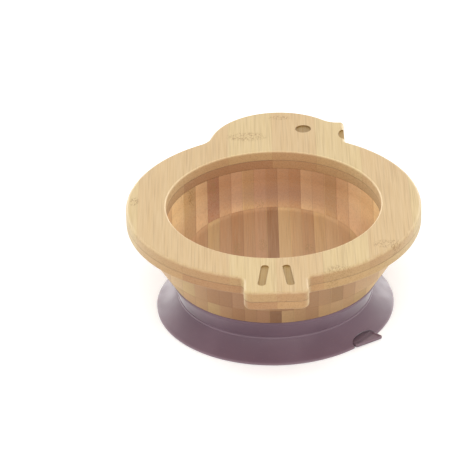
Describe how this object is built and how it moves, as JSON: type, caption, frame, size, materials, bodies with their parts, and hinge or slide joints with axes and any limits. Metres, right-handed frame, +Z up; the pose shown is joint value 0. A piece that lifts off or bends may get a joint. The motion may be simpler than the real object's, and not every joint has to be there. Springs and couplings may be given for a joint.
{
  "type": "suction bowl",
  "caption": "Baby's bowl of laminated bamboo with an animal-shaped flat rim, on a silicone suction base with a release tab.",
  "frame": {"origin": "the bowl's axis at the table top, in the middle of the suction base", "axes": "+Z up along the bowl's axis; +Y to the animal's head at the back, so the feet are at -Y; +X to the side of the beak"},
  "size_m": [0.1512, 0.1894, 0.0595],
  "materials": {
    "rim_bamboo": "satin, pale flat-pressed bamboo, oiled",
    "strip_bamboo": "satin, carbonised bamboo strips on edge, oiled",
    "floor_bamboo": "satin, carbonised bamboo strips on edge, oiled",
    "silicone": "matt mauve silicone with a soft sheen"
  },
  "bodies": {
    "base": {"suction_skirt": "silicone"},
    "collar": {"suction_collar": "silicone", "foot_ledge": "silicone"},
    "bowl": {"floor_board": "floor_bamboo", "rim_lower_ply": "rim_bamboo", "rim_upper_ply": "rim_bamboo", "wall_strip_01": "strip_bamboo", "wall_strip_02": "strip_bamboo", "wall_strip_03": "strip_bamboo", "wall_strip_04": "strip_bamboo", "wall_strip_05_back": "strip_bamboo", "wall_strip_05_front": "strip_bamboo", "wall_strip_06_back": "strip_bamboo", "wall_strip_06_front": "strip_bamboo", "wall_strip_07_back": "strip_bamboo", "wall_strip_07_front": "strip_bamboo", "wall_strip_08_back": "strip_bamboo", "wall_strip_08_front": "strip_bamboo", "wall_strip_09_back": "strip_bamboo", "wall_strip_09_front": "strip_bamboo", "wall_strip_10_back": "strip_bamboo", "wall_strip_10_front": "strip_bamboo", "wall_strip_11_back": "strip_bamboo", "wall_strip_11_front": "strip_bamboo", "wall_strip_12_back": "strip_bamboo", "wall_strip_12_front": "strip_bamboo", "wall_strip_13_back": "strip_bamboo", "wall_strip_13_front": "strip_bamboo", "wall_strip_14_back": "strip_bamboo", "wall_strip_14_front": "strip_bamboo", "wall_strip_15_back": "strip_bamboo", "wall_strip_15_front": "strip_bamboo", "wall_strip_16_back": "strip_bamboo", "wall_strip_16_front": "strip_bamboo", "wall_strip_17_back": "strip_bamboo", "wall_strip_17_front": "strip_bamboo", "wall_strip_18_back": "strip_bamboo", "wall_strip_18_front": "strip_bamboo", "wall_strip_19_back": "strip_bamboo", "wall_strip_19_front": "strip_bamboo", "wall_strip_20": "strip_bamboo", "wall_strip_21": "strip_bamboo", "wall_strip_22": "strip_bamboo", "wall_strip_23": "strip_bamboo"},
    "release_tab": {"release_tab": "silicone"}
  },
  "joints": [
    {"name": "press_down", "type": "slide", "parent": "base", "child": "collar", "axis": [0, 0, -1], "range_m": [0, 0.0025], "stiffness_N_per_m": 5000, "springref_m": -0.0012, "deforming": ["suction_skirt"]},
    {"name": "bowl_lift", "type": "slide", "parent": "collar", "child": "bowl", "axis": [0, 0, 1], "range_m": [0, 0.03]},
    {"name": "tab_lift", "type": "hinge", "parent": "base", "child": "release_tab", "pos_m": [0.04258, -0.03834, 0.0012], "axis": [-0.6691, -0.7431, 0], "range_deg": [0, 60], "stiffness_Nm_per_rad": 0.004}
  ]
}
